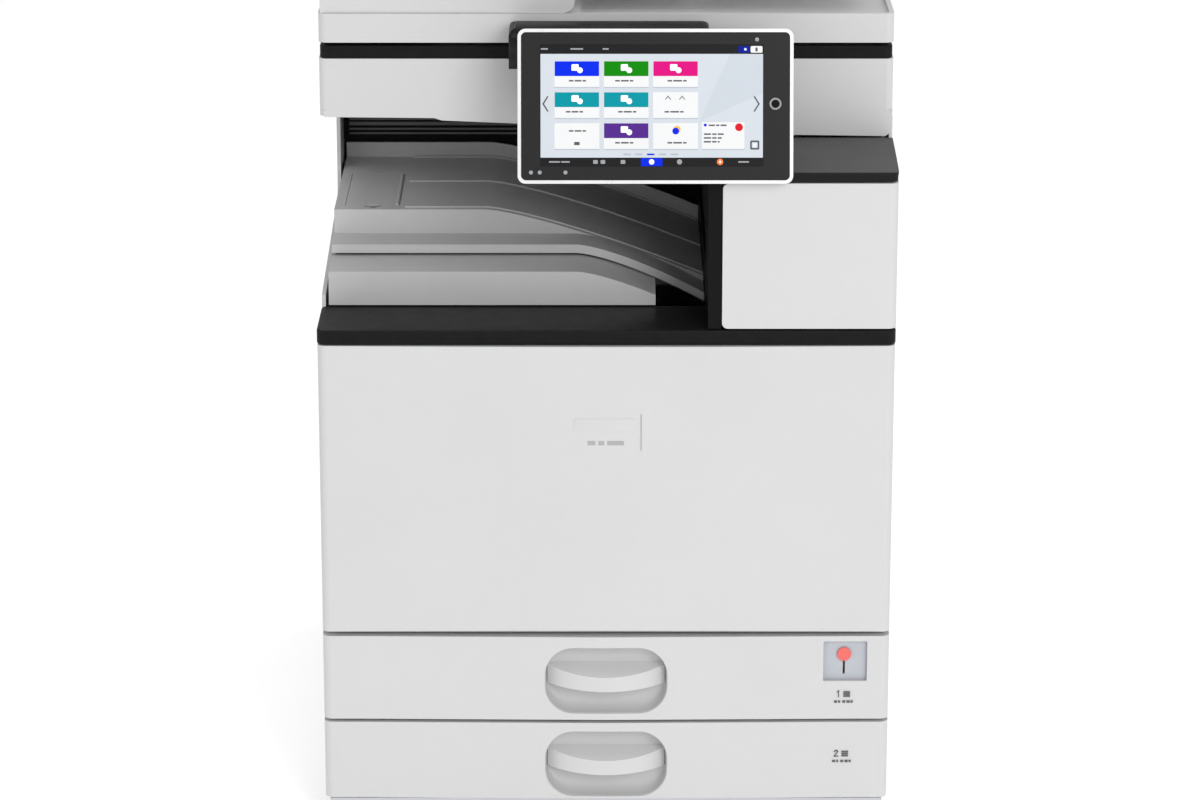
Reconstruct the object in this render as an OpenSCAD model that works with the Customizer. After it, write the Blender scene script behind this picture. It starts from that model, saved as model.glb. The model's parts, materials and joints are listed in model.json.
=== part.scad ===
/* [Body] */
// overall width of the floor-standing body
body_w = 587; // [585:1:595]
// depth from the front cover's plane to the rear cover
body_d = 664; // [660:1:680]
// radius of the upright front corners
corner_r = 9; // [6:1:12]
// how far the front faces bow out at their middle
front_bow = 4; // [2:0.5:5]
// wall of the moulded covers
skin = 3; // [2.5:0.5:3.5]

/* [Paper drawers] */
// width of the finger recess in a drawer front
grip_w = 127; // [110:1:140]
// height of the finger recess
grip_h = 72; // [68:1:74]
// corner radius of the finger recess
grip_r = 30; // [20:1:34]

/* [Output bay] */
// height of the level part of the output tray above the floor
tray_z = 612; // [606:1:616]
// drop of the output tray towards the paper exit
tray_drop = 72; // [60:1:74]

/* [Operation panel] */
// width of the tilting touch panel
panel_w = 274.6; // [260:0.2:280]
// height of the touch panel along its face
panel_h = 154; // [150:1:158]
// lean of the panel's face from upright
panel_tilt = 13.1; // [10:0.1:16]

/* [Hidden] */
// Y runs back from the front cover's plane; from_front() centres the whole machine
panel_out = 20;
front_y = -(body_d - panel_out) / 2;
hw = body_w / 2;
bow_half = hw - 10;
bow_r = (bow_half * bow_half + front_bow * front_bow) / (2 * front_bow);

// level of each seam in the front
drawer_2_z = [31, 115];
drawer_1_z = [118.5, 209.4];
cover_z = [214, 521];
ledge_z = [522, 537];
exit_z = [539, 690];
scan_z = 734;
rim_z = [794, 807];
lid_z = [811, 841];

// output bay
bay_x = 103;
bay_y = 452;
tray_x0 = -286;

// centres of the turning pieces, in X and Z
toner_c = [-120, 432];
drum_c = [178, 372];
transfer_c = [219, 372];
fuser_c = [182, 484];
pressure_c = [211, 484];
exit_c = [121, 588];
pickup_c = [-84, 876];

// touch panel
panel_x = 48.9;
panel_y = -20;
panel_z = 694.7;
hinge_l = [24, 146];
hinge_c = [
    panel_y + hinge_l[1] * sin(panel_tilt) + hinge_l[0] * cos(panel_tilt),
    panel_z + hinge_l[1] * cos(panel_tilt) - hinge_l[0] * sin(panel_tilt)
];
button_c = [119.5, 79.5];

// document feeder
head_x = [-291, -32];
head_z = [841.3, 913];

// colours
white = [0.84, 0.84, 0.85];
light = [0.80, 0.80, 0.81];
tray_grey = [0.66, 0.66, 0.66];
mid_grey = [0.40, 0.40, 0.41];
dark = [0.16, 0.16, 0.17];
black = [0.06, 0.06, 0.06];
steel = [0.62, 0.63, 0.65];
green = [0.10, 0.32, 0.20];
red = [0.90, 0.35, 0.32];

// ---- shared shapes ----

module from_front() {
    translate([0, front_y, 0])
        children();
}

// a box between two corners
module block(x, y, z) {
    translate([x[0], y[0], z[0]])
        cube([x[1] - x[0], y[1] - y[0], z[1] - z[0]]);
}

// a flat outline in Y and Z, drawn out along X
module along_x(x0, x1) {
    translate([x0, 0, 0])
        rotate([90, 0, 90])
            linear_extrude(x1 - x0)
                children();
}

// a flat outline in X and Z, drawn out along Y
module along_y(y0, y1) {
    translate([0, y1, 0])
        rotate([90, 0, 0])
            linear_extrude(y1 - y0)
                children();
}

// a flat outline in X and Y, drawn up along Z
module along_z(z0, z1) {
    translate([0, 0, z0])
        linear_extrude(z1 - z0)
            children();
}

module spot(a, b, r) {
    translate([a, b])
        circle(r, $fn = 48);
}

module rod_x(y, z, r, x0, x1) {
    along_x(x0, x1)
        spot(y, z, r);
}

module rod_y(x, z, r, y0, y1) {
    along_y(y0, y1)
        spot(x, z, r);
}

// a rounded rectangle between two corners
module pane(a, b, r) {
    translate([a[0] + r, b[0]])
        square([a[1] - a[0] - 2 * r, b[1] - b[0]]);
    translate([a[0], b[0] + r])
        square([a[1] - a[0], b[1] - b[0] - 2 * r]);
    for (u = [a[0] + r, a[1] - r])
        for (v = [b[0] + r, b[1] - r])
            spot(u, v, r);
}

// plan of the bowed front, set in by g on every outer side
module bowed_plan(g) {
    translate([-hw + 0.5 + corner_r, g])
        square([2 * (hw - 0.5 - corner_r), 22 - g]);
    translate([-hw + 0.5 + g, corner_r])
        square([2 * (hw - 0.5 - g), 22 - corner_r]);
    for (s = [-1, 1])
        spot(s * (hw - 0.5 - corner_r), corner_r, corner_r - g);
    intersection() {
        translate([0, bow_r - front_bow])
            circle(bow_r - g, $fn = 200);
        translate([-bow_half, -8])
            square([2 * bow_half, 12]);
    }
}

// an open-backed moulding that follows the bowed front
module bowed_shell(z0, z1) {
    difference() {
        along_z(z0, z1)
            bowed_plan(0);
        along_z(z0 + skin, z1 - skin)
            bowed_plan(skin);
        block([-hw, hw], [18, 30], [z0 + skin, z1 - skin]);
    }
}

// ---- frame and covers ----

module base_frame() {
    color(dark)
        from_front() {
            difference() {
                block([-288, 288], [4, 658], [20, 29]);
                block([-286, 286], [6, 656], [22, 30]);
            }
        }
}

module feet() {
    color(black)
        from_front() {
            for (x = [-235, 235])
                for (y = [70, 600]) {
                    translate([x, y, 0])
                        cylinder(r = 21, h = 11, $fn = 48);
                    translate([x, y, 11])
                        cylinder(r = 11, h = 9, $fn = 48);
                }
        }
}

// an angle section that a drawer's side runner slides on, below height z
module runner(s, z) {
    along_y(30, 590)
        polygon([
            [s * 283.2, z - 14], [s * 283.2, z], [s * 266, z], [s * 266, z - 3],
            [s * 280, z - 3], [s * 280, z - 14]
        ]);
}

module inner_front_plate() {
    difference() {
        block([-282, 282], [24, 26], [214, 520]);
        rod_y(toner_c[0], toner_c[1], 56, 20, 30);
        along_y(20, 30)
            pane([50, 246], [318, 426], 8);
        along_y(20, 30)
            pane([146, 248], [448, 516], 8);
        for (z = [236, 252, 268])
            along_y(20, 30)
                pane([-262, -214], [z, z + 7], 3);
    }
}

module side_wall(s) {
    difference() {
        block([min(s * 283, s * 285), max(s * 283, s * 285)], [24, 602], [29, 520]);
        if (s > 0)
            block([280, 290], [58, 590], [213, 521]);
    }
    runner(s, 149.4);
    runner(s, 65.4);
}

// the toner bottle lies in this trough
module toner_trough() {
    x = toner_c[0];
    block([x - 52, x + 52], [26, 480], [372, 376]);
    for (u = [x - 52, x + 49])
        block([u, u + 3], [26, 480], [375, 400]);
}

module front_frame() {
    color(light)
        from_front() {
            inner_front_plate();
            side_wall(-1);
            side_wall(1);
            toner_trough();
        }
}

module rear_frame() {
    color(steel)
        from_front()
            difference() {
                union() {
                    block([-285, 285], [602.2, 605], [29, 731]);
                    block([-285, 285], [470, 605], [731, 733.6]);
                }
                rod_y(150, 372, 22, 600, 610);
                along_y(600, 610)
                    pane([-225, -110], [520, 600], 6);
            }
}

module left_cover() {
    color(white)
        from_front()
            difference() {
                along_x(-hw, -hw + 4)
                    polygon([
                        [23, 31], [660, 31], [660, 733], [392, 733], [392, 588], [388, 584],
                        [380, 581], [97, 548], [97, 521], [23, 521]
                    ]);
                for (i = [0 : 9])
                    along_x(-hw - 1, -hw + 5)
                        pane([470, 580], [250 + 12 * i, 255 + 12 * i], 2.4);
            }
}

module rear_cover() {
    color(white)
        from_front()
            difference() {
                block([-hw, hw], [660.3, body_d], [31, 733]);
                block([-247, -205], [650, 680], [62, 96]);
                block([20, 128], [650, 680], [300, 356]);
                for (i = [0 : 11])
                    along_y(650, 680)
                        pane([-222, -112], [500 + 12 * i, 505 + 12 * i], 2.4);
                for (i = [0 : 7])
                    along_y(650, 680)
                        pane([150, 250], [150 + 12 * i, 155 + 12 * i], 2.4);
            }
}

module right_cover() {
    color(white)
        from_front()
            along_x(hw - 4, hw)
                polygon([
                    [23, 31], [660, 31], [660, 733], [115, 733], [115, 692], [582, 692],
                    [582, 213], [58, 213], [58, 521], [23, 521]
                ]);
}

module ledge() {
    color(dark)
        from_front()
            difference() {
                along_z(ledge_z[0], ledge_z[1])
                    pane([-hw, hw], [0, 96], corner_r);
                block([-280, 250], [12, 97], [ledge_z[0] - 1, ledge_z[1] - 3]);
                // clearance for the right door
                block([253, 300], [60.5, 97], [ledge_z[0] - 1, ledge_z[1] + 1]);
            }
}

// ---- output bay ----

module bay_liner() {
    color(black)
        from_front()
            difference() {
                union() {
                    block([-289, 107], [bay_y, bay_y + 4], [523, 733]);
                    for (i = [0 : 4])
                        block([-284, 100], [bay_y - 3, bay_y + 1], [646 + 16 * i, 651 + 16 * i]);
                    // right wall, kept below the sloping shoulder
                    along_x(bay_x, bay_x + 4)
                        polygon([
                            [4, 537.3], [bay_y + 1, 537.3], [bay_y + 1, 711], [110, 711],
                            [110, 706.5], [6.6, 696.4], [6.6, 690], [4, 690]
                        ]);
                    block([bay_x, 116.5], [3, 7], [538, 690]);
                    block([bay_x, 116.5], [110, 452], [707, 711]);
                    for (y = [112, 444])
                        block([bay_x + 1, 132], [y, y + 4], [572, 604]);
                }
                block([bay_x - 5, bay_x + 6], [124, 436], [574, 604]);
                rod_y(exit_c[0], exit_c[1], 4.05, 100, 460);
            }
}

// height of the tray above x, for a tread that starts to fall at x0
function fall(x, x0, drop, p) = x <= x0 ? 0 : drop * pow((x - x0) / (bay_x - x0), p);

// one tread of the output tray from xs to x1, falling towards the paper exit beyond x0
module tread(z0, x0, drop, p, x1, thick, left = tray_x0) {
    steps = 20;
    xs = [for (i = [0 : steps]) x0 + (x1 - x0) * i / steps];
    top = [for (x = xs) [x, z0 - fall(x, x0, drop, p)]];
    low = [for (i = [steps : -1 : 0]) [xs[i], z0 - thick - fall(xs[i], x0, drop, p)]];
    polygon(concat([[left, z0]], top, low, [[left, z0 - thick]]));
}

// the riser under a tread, down to a level line
module riser(z0, x0, drop, p, x1, foot) {
    steps = 20;
    xs = [for (i = [0 : steps]) x0 + (x1 - x0) * i / steps];
    top = [for (x = xs) [x, max(foot + 0.5, z0 - fall(x, x0, drop, p))]];
    polygon(concat([[tray_x0, foot], [tray_x0, z0]], top, [[x1, foot]]));
}

module output_tray() {
    end = bay_x - 0.5;
    color(tray_grey)
        from_front()
            difference() {
                union() {
                    // front step with its level tread
                    along_y(93, 97)
                        riser(574, -30, 50, 1.4, 51, 538.5);
                    along_y(93, 164)
                        tread(574, -30, 50, 1.4, 51, 4);
                    block([48, 51], [93, 164], [538.5, 550]);
                    // overhanging lip
                    along_y(158, 209)
                        tread(586, -30, 52, 1.4, end, 9);
                    // high tread that takes the sheets
                    along_y(205, 209)
                        riser(tray_z, -125, tray_drop, 1.3, end, 530);
                    along_y(205, bay_y - 3.5)
                        tread(tray_z, -125, tray_drop, 1.3, end, 4);
                    // sheet ribs
                    for (y = [213, 328, 440])
                        along_y(y, y + 3)
                            tread(tray_z + 1.6, -125, tray_drop, 1.3, end, 3, -212);
                    // rear flange and left rim
                    along_y(bay_y - 7, bay_y - 3.5)
                        tread(tray_z + 16, -125, tray_drop, 1.3, end, 18);
                    block([tray_x0, tray_x0 + 3], [93, 209], [538.5, 573]);
                    block([tray_x0, tray_x0 + 3], [205, bay_y - 3.5], [538.5, 609]);
                }
                // seat and finger notch of the folding stopper
                block([-275.5, -217.5], [222, 366], [608.9, 620]);
                finger_notch();
            }
}

// half-round notch for lifting the stopper
module finger_notch() {
    translate([-246, 221, 600])
        cylinder(r = 9, h = 20, $fn = 48);
}

module tray_stopper() {
    color(tray_grey)
        from_front()
            difference() {
                union() {
                    block([-275, -222], [222.5, 365.5], [609.4, 611.9]);
                    rod_y(-220.5, 611.1, 1.8, 226, 362);
                }
                finger_notch();
            }
}

module exit_cover() {
    color(white)
        from_front()
            difference() {
                intersection() {
                    along_z(exit_z[0], exit_z[1])
                        union() {
                            translate([117, 0])
                                square([hw - 117 - corner_r, 58]);
                            translate([117, corner_r])
                                square([hw - 117, 58 - corner_r]);
                            spot(hw - corner_r, corner_r, corner_r);
                        }
                    along_y(-1, 60)
                        pane([117, hw + 20], [exit_z[0], exit_z[1]], 6);
                }
                block([120, hw - 3], [3, 60], [exit_z[0] - 1, exit_z[1] - 3]);
            }
}

module shoulder() {
    color(mid_grey)
        from_front()
            intersection() {
                along_x(bay_x, hw)
                    polygon([
                        [0, 691.5], [0, 700], [3, 701.5], [60, 708], [109, 712], [109, 707],
                        [6, 697], [6, 691.5]
                    ]);
                along_z(690, 714)
                    pane([60, hw], [0, 160], corner_r);
            }
}

// ---- scanner ----

module scanner_case() {
    color(white)
        from_front()
            difference() {
                union() {
                    along_z(scan_z, rim_z[0] - 0.2)
                        pane([-293, 293], [110, 656], 8);
                    // front skirt that deepens to the right
                    along_y(110, 114)
                        polygon([
                            [-290, 740], [-288, 733], [-176, 732], [-168, 729.5], [190, 714.5],
                            [286, 713.2], [291, 717], [292.8, 740]
                        ]);
                }
                along_z(scan_z + 3, rim_z[0] + 1)
                    pane([-290, 290], [113.5, 653], 5);
                block([-70, 90], [655, 660], [750, 780]);
            }
}

module scanner_rim() {
    color(dark)
        from_front()
            difference() {
                along_z(rim_z[0], rim_z[1])
                    pane([-292, 292], [111, 645], 8);
                // seats and windows of the two glasses
                block([-172, 267], [149, 456], [rim_z[1] - 4, rim_z[1] + 1]);
                block([-208, -184], [149, 456], [rim_z[1] - 4, rim_z[1] + 1]);
                block([-166, 261], [155, 450], [rim_z[0] - 1, rim_z[1] + 1]);
                block([-204, -188], [155, 450], [rim_z[0] - 1, rim_z[1] + 1]);
                // hollow underside
                block([-284, -214], [119, 637], [rim_z[0] - 1, rim_z[1] - 3]);
                block([-214, 284], [119, 143], [rim_z[0] - 1, rim_z[1] - 3]);
                block([-214, 284], [462, 637], [rim_z[0] - 1, rim_z[1] - 3]);
                block([272, 284], [142, 463], [rim_z[0] - 1, rim_z[1] - 3]);
            }
}

module platen_glass() {
    color([0.75, 0.86, 0.88, 0.4])
        from_front() {
            block([-171.7, 266.7], [149.3, 455.7], [rim_z[1] - 4, rim_z[1] - 0.2]);
            block([-207.7, -184.3], [149.3, 455.7], [rim_z[1] - 4, rim_z[1] - 0.2]);
        }
}

module scan_rails() {
    color(steel)
        from_front() {
            rod_x(134, 752, 4, -290, 290);
            rod_x(486, 752, 4, -290, 290);
        }
}

// a lamp or mirror carriage that straddles the two rails
module carriage(x, w, z) {
    block([x, x + w], [140, 480], z);
    for (y = [134, 486])
        difference() {
            block([x + 4, x + w - 4], [y - 9, y + 9], [752, z[0] + 4]);
            rod_x(y, 752, 4.6, x, x + w);
        }
}

module carriage_1() {
    color(dark)
        from_front()
            difference() {
                carriage(-218, 44, [762, 789]);
                // light slot above the mirror and the hollow below it
                block([-199, -193], [150, 470], [760, 790]);
                block([-212, -180], [146, 474], [761, 784]);
            }
}

module carriage_2() {
    color(dark)
        from_front()
            difference() {
                carriage(-275, 38, [762, 786]);
                block([-270, -236], [146, 474], [765, 783]);
            }
}

// ---- operation panel ----

module panel_arm() {
    color(dark)
        from_front()
            difference() {
                union() {
                    // neck behind the panel
                    along_x(-80, 94)
                        polygon([
                            [110, 740], [110, 805], [46, 805], [46, 800], [52, 748], [60, 740]
                        ]);
                    // broad head that shows above the rim
                    intersection() {
                        along_x(-98, 104)
                            polygon([
                                [110, 797], [110, 805], [107, 808], [107, 824], [98, 833],
                                [88, 837.5], [52, 837.5], [46, 834], [46, 797]
                            ]);
                        along_y(40, 112)
                            pane([-98, 104], [780, 837.5], 8);
                    }
                    for (x = [-71, 65])
                        along_x(x, x + 20)
                            union() {
                                translate([hinge_c[0], hinge_c[1] - 4.9])
                                    square([50 - hinge_c[0], 9.8]);
                                spot(hinge_c[0], hinge_c[1], 4.9);
                            }
                    for (x = [-51, 85])
                        rod_x(hinge_c[0], hinge_c[1], 2.5, x, x + 14);
                }
                along_x(-76, 90)
                    polygon([
                        [111, 744], [111, 801], [103, 806], [103, 824], [88, 833.5],
                        [56, 833.5], [50, 829], [50, 800], [56, 752], [64, 744]
                    ]);
            }
}

// the panel's own frame: face at y = 0, lower edge at z = 0
module on_panel() {
    translate([panel_x, panel_y, panel_z])
        rotate([-panel_tilt, 0, 0])
            children();
}

module panel_case() {
    pw = panel_w / 2;
    color(steel)
        from_front()
            difference() {
                union() {
                    on_panel()
                        difference() {
                            along_y(0, 17.5)
                                pane([-pw, pw], [0, panel_h], 8);
                            along_y(-1, 3)
                                pane([-pw + 3.4, pw - 3.4], [3.4, panel_h - 3.4], 5);
                            along_y(5.5, 15)
                                pane([-pw + 3, pw - 3], [3, panel_h - 3], 5);
                            rod_y(button_c[0], button_c[1], 6.4, -2, 20);
                        }
                    on_panel()
                        for (x = [-99.5, 36.5])
                            along_x(x, x + 13)
                                union() {
                                    translate([16, hinge_l[1] - 5])
                                        square([8, 10]);
                                    spot(hinge_l[0], hinge_l[1], 5);
                                }
                    on_panel()
                        rod_y(button_c[0], button_c[1], 9, 15, 17.5);
                }
                rod_x(hinge_c[0], hinge_c[1], 2.56, -60, 110);
            }
}

module panel_glass() {
    pw = panel_w / 2;
    color(black)
        from_front()
            on_panel()
                difference() {
                    along_y(0.6, 3)
                        pane([-pw + 3.5, pw - 3.5], [3.5, panel_h - 3.5], 4.8);
                    rod_y(button_c[0], button_c[1], 6.4, -2, 20);
                }
}

module panel_button() {
    color(mid_grey)
        from_front()
            on_panel()
                difference() {
                    rod_y(button_c[0], button_c[1], 6.05, 0.2, 12);
                    rod_y(button_c[0], button_c[1], 4.2, -1, 1);
                }
}

// ---- inner works ----

module power_inlet() {
    color(black)
        from_front()
            difference() {
                block([-246.5, -205.5], [640, 663.5], [62.5, 95.5]);
                along_y(646, 665)
                    polygon([
                        [-238, 70], [-214, 70], [-214, 82], [-218, 88], [-234, 88], [-238, 82]
                    ]);
            }
    color(steel)
        from_front()
            for (p = [[-226, 83], [-232, 75], [-220, 75]])
                block([p[0] - 1, p[0] + 1], [645, 658], [p[1] - 2.5, p[1] + 2.5]);
}

module laser_unit() {
    color(mid_grey)
        from_front()
            difference() {
                union() {
                    block([-100, 40], [90, 430], [246, 312]);
                    block([-106, 46], [84, 436], [240, 246]);
                }
                block([-96, 36], [94, 426], [250, 308]);
                block([30, 47], [110, 410], [280, 292]);
            }
}

module imaging_case() {
    color(mid_grey)
        from_front()
            difference() {
                union() {
                    block([62, 140], [46, 418], [326, 420]);
                    for (y = [46, 414])
                        along_y(y, y + 4)
                            union() {
                                pane([100, 212], [336, 408], 8);
                                translate([62, 326])
                                    square([60, 94]);
                            }
                    // carrying grip
                    block([80, 120], [16, 47], [396, 404]);
                    block([80, 120], [16, 22], [380, 404]);
                }
                block([66, 141], [50, 414], [330, 416]);
                rod_y(drum_c[0], drum_c[1], 5.05, 40, 430);
            }
}

module fuser_case() {
    color(dark)
        from_front()
            difference() {
                union() {
                    for (y = [50, 414])
                        along_y(y, y + 4)
                            pane([152, 246], [454, 512], 6);
                    block([152, 158], [50, 418], [460, 506]);
                    block([152, 186], [50, 418], [506, 512]);
                    block([204, 246], [50, 418], [508, 512]);
                    block([180, 216], [26.5, 50], [480, 488]);
                }
                rod_y(fuser_c[0], fuser_c[1], 4.05, 40, 430);
                rod_y(pressure_c[0], pressure_c[1], 4.05, 40, 430);
            }
}

module drive_motor() {
    color(steel)
        from_front() {
            translate([150, 605, 372])
                rotate([-90, 0, 0])
                    cylinder(r = 34, h = 32, $fn = 48);
            rod_y(150, 372, 6, 560, 605);
            rod_y(150, 372, 16, 570, 586);
        }
}

module circuit_boards() {
    color(green)
        from_front() {
            // three sockets that face the rear
            for (i = [0 : 2])
                difference() {
                    block([28 + 32 * i, 48 + 32 * i], [642.3, 659], [308, 326]);
                    block([31 + 32 * i, 45 + 32 * i], [647, 660], [311, 323]);
                }
            // main board
            union() {
                block([-80, 140], [640, 642], [250, 470]);
                block([-60, -10], [634, 641], [380, 430]);
                for (i = [0 : 3])
                    block([-60 + 26 * i, -44 + 26 * i], [634, 641], [280, 296]);
            }
            // power supply board
            union() {
                block([-276, -150], [60, 460], [236, 238]);
                for (i = [0 : 3])
                    translate([-250, 110 + 46 * i, 237])
                        cylinder(r = 14, h = 36, $fn = 32);
                block([-222, -164], [100, 170], [237, 282]);
                block([-216, -170], [210, 262], [237, 276]);
                block([-262, -168], [330, 340], [237, 290]);
            }
        }
}

module toner_bottle() {
    x = toner_c[0];
    z = toner_c[1];
    color([0.12, 0.12, 0.13])
        from_front()
            difference() {
                union() {
                    rod_y(x, z, 50, 60, 470);
                    rod_y(x, z, 54, 32, 61);
                    rod_y(x, z, 30, 469, 490);
                    block([x - 6, x + 6], [20, 40], [z - 40, z + 40]);
                    for (i = [0 : 7])
                        rod_y(x, z, 51.5, 90 + 46 * i, 98 + 46 * i);
                }
                rod_y(x, z, 47, 70, 466);
            }
}

// a roller on a shaft that runs in two bores
module roller(c, r, y, shaft_r, s) {
    rod_y(c[0], c[1], r, y[0], y[1]);
    rod_y(c[0], c[1], shaft_r, s[0], s[1]);
}

module drum() {
    color([0.10, 0.42, 0.36])
        from_front()
            roller(drum_c, 30, [54, 410], 5, [42, 432]);
}

module transfer_roller() {
    color(black)
        from_front()
            roller(transfer_c, 9.5, [82, 402], 3, [70, 414]);
}

module fuser_roller() {
    color([0.55, 0.36, 0.20])
        from_front()
            roller(fuser_c, 14, [58, 410], 4, [44, 424]);
}

module pressure_roller() {
    color([0.30, 0.18, 0.14])
        from_front()
            roller(pressure_c, 14, [58, 410], 4, [44, 424]);
}

module exit_roller() {
    color(black)
        from_front() {
            rod_y(exit_c[0], exit_c[1], 4, 108, 452);
            for (y = [150, 232, 314, 396])
                rod_y(exit_c[0], exit_c[1], 11, y, y + 18);
        }
}

// ---- front cover and doors ----

module front_cover() {
    color(white)
        from_front()
            difference() {
                bowed_shell(cover_z[0], cover_z[1]);
                // relief below the lower edge so that it can swing down
                along_x(-hw - 1, hw + 1)
                    polygon([[-9, 213], [-9, 217.5], [-4.5, 217], [1, 214], [1, 213]]);
            }
    color(white)
        from_front() {
            for (x = [-190, -64, 62, 188])
                block([x, x + 2], [-1.5, 8], [cover_z[0] + 2, cover_z[1] - 2]);
        }
}

module duplex_door() {
    color(white)
        from_front()
            difference() {
                union() {
                    along_z(215, 690)
                        pane([262, hw], [61.5, 579], 2);
                    // paper guide ribs on the inside
                    for (i = [0 : 9])
                        along_y(90 + 36 * i, 93 + 36 * i) {
                            polygon([
                                [263, 232], [252, 244], [252, 330], [240, 344], [240, 350],
                                [263, 350]
                            ]);
                            polygon([
                                [263, 404], [240, 404], [240, 410], [252, 420], [252, 520],
                                [263, 540]
                            ]);
                        }
                    // bearing arms of the transfer roller
                    for (y = [74, 406])
                        along_y(y, y + 4)
                            union() {
                                translate([transfer_c[0], transfer_c[1] - 6])
                                    square([46, 12]);
                                spot(transfer_c[0], transfer_c[1], 6);
                            }
                }
                // hollow inside the door
                difference() {
                    block([265, hw - 3.5], [65, 575], [219, 686]);
                    block([277.5, hw], [126, 504], [324, 606]);
                }
                // bay of the folding bypass tray
                block([281, hw + 1], [130, 500], [328, 602]);
                rod_y(transfer_c[0], transfer_c[1], 3.06, 60, 420);
                // pull recess
                block([285, hw + 1], [66, 116], [560, 630]);
            }
}

module bypass_tray() {
    color(light)
        from_front()
            difference() {
                along_y(131, 499)
                    pane([284.5, hw], [334, 598], 3);
                block([283, 286.5], [140, 490], [352, 590]);
                block([hw - 2, hw + 1], [290, 340], [580, 600]);
            }
}

// ---- paper drawers ----

// finger recess and its bowed pull, centred at height c
module grip_hollow(c) {
    along_y(-12, 15)
        pane([-grip_w / 2, grip_w / 2], [c - grip_h / 2, c + grip_h / 2], grip_r);
}

module grip_pull(c) {
    intersection() {
        along_x(-61, 61)
            polygon([[-12, c - 11], [-12, c + 4], [16, c + 16], [16, c - 6]]);
        translate([0, 95, c - 20])
            cylinder(r = 104, h = 50, $fn = 200);
    }
}

module drawer_front(z, c) {
    union() {
        difference() {
            union() {
                bowed_shell(z[0], z[1]);
                along_y(-1, 18)
                    intersection() {
                        pane(
                            [-grip_w / 2 - 3, grip_w / 2 + 3],
                            [c - grip_h / 2 - 3, c + grip_h / 2 + 3],
                            grip_r + 2
                        );
                        translate([-100, z[0]])
                            square([200, z[1] - z[0]]);
                    }
            }
            grip_hollow(c);
        }
        grip_pull(c);
    }
}

module drawer_1_front() {
    color(white)
        from_front()
            difference() {
                union() {
                    drawer_front(drawer_1_z, 161.5);
                    block([221.7, 273], [0, 9], [157, 206.8]);
                }
                // window of the paper gauge
                along_y(-8, 6)
                    pane([224.7, 270], [160, 203.6], 1.5);
                block([245.3, 247.5], [0, 20], [166, 191]);
            }
}

module gauge_flag() {
    color(red)
        from_front() {
            rod_y(246.4, 188.4, 7.3, 3, 5);
            block([245.8, 247], [4, 17], [187.2, 189.6]);
        }
}

module drawer_2_front() {
    color(white)
        from_front()
            drawer_front(drawer_2_z, 69.5);
}

// open box with side runners; the fences and the lift plate work inside it
module drawer_box(z0, z1) {
    difference() {
        block([-262, 262], [18, 392], [z0, z1]);
        block([-260, 260], [20, 390], [z0 + 2, z1 + 1]);
    }
    for (s = [-1, 1])
        block([min(s * 261, s * 279), max(s * 261, s * 279)], [34, 388], [z0 + 28, z0 + 31]);
}

// lifting plate with clearance slots for the three fences
module lift_plate(z) {
    difference() {
        block([-214, 250], [34, 376], [z, z + 1.6]);
        block([-12, 58], [30, 150], [z - 1, z + 3]);
        block([-12, 58], [260, 380], [z - 1, z + 3]);
        block([-216, -30], [180, 230], [z - 1, z + 3]);
    }
    // hinge barrels along the left end
    for (y = [34, 232])
        rod_y(-214, z + 1.6, 3, y, y + 144);
}

// upright side fence with its foot; s = 1 faces the rear
module side_fence(y, z, s, h) {
    block([-6, 52], [min(y, y + s * 3), max(y, y + s * 3)], [z, z + h]);
    block([-6, 52], [min(y, y - s * 10), max(y, y - s * 10)], [z, z + 3]);
    along_x(20, 26)
        polygon([[y, z], [y, z + h - 12], [y - s * 10, z + 3], [y - s * 10, z]]);
}

module end_fence(x, z, h) {
    block([x, x + 3], [184, 226], [z, z + h]);
    block([x - 22, x + 1], [184, 226], [z, z + 3]);
    along_y(202, 208)
        polygon([[x, z], [x, z + h - 8], [x - 20, z + 3], [x - 20, z]]);
}

module drawer_1_box() {
    color(light)
        from_front()
            drawer_box(122, 196);
}

module drawer_1_lift_plate() {
    color(steel)
        from_front()
            lift_plate(127);
}

module drawer_1_front_fence() {
    color(mid_grey)
        from_front()
            side_fence(44, 124.4, 1, 66);
}

module drawer_1_rear_fence() {
    color(mid_grey)
        from_front()
            side_fence(366, 124.4, -1, 66);
}

module drawer_1_end_fence() {
    color(mid_grey)
        from_front()
            end_fence(-190, 124.4, 60);
}

module drawer_2_box() {
    color(light)
        from_front()
            drawer_box(38, 108);
}

module drawer_2_lift_plate() {
    color(steel)
        from_front()
            lift_plate(43);
}

module drawer_2_front_fence() {
    color(mid_grey)
        from_front()
            side_fence(44, 40.4, 1, 62);
}

module drawer_2_rear_fence() {
    color(mid_grey)
        from_front()
            side_fence(366, 40.4, -1, 62);
}

module drawer_2_end_fence() {
    color(mid_grey)
        from_front()
            end_fence(-190, 40.4, 56);
}

// ---- document feeder ----

module feeder_hinges() {
    color(dark)
        from_front()
            for (x = [-215, 185]) {
                along_x(x, x + 30)
                    union() {
                        translate([649, 807.1])
                            square([13, 15]);
                        spot(655.5, 822, 6.5);
                    }
                rod_x(655.5, 822, 3, x - 12, x + 42);
                along_x(x, x + 30)
                    translate([645.3, 793.8])
                        square([16, 14]);
            }
}

module feeder_base() {
    color(white)
        from_front()
            difference() {
                union() {
                    along_z(lid_z[0], lid_z[1])
                        pane([-293, 293], [108, 647], 9);
                    for (x = [-215, 185])
                        for (u = [x - 13, x + 31])
                            along_x(u, u + 12)
                                union() {
                                    translate([640, 816])
                                        square([16, 12]);
                                    spot(655.5, 822, 6);
                                }
                }
                along_z(lid_z[0] - 1, 832)
                    pane([-288, 288], [113, 642], 5);
                // sunk floor that takes the delivered sheets
                along_z(836, lid_z[1] + 1)
                    pane([-26, 288], [113, 610], 6);
                rod_x(655.5, 822, 3.06, -240, 240);
            }
}

module feeder_pad() {
    color(white)
        from_front()
            along_z(808, 831.8)
                pane([-176, 270], [140, 470], 4);
}

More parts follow.
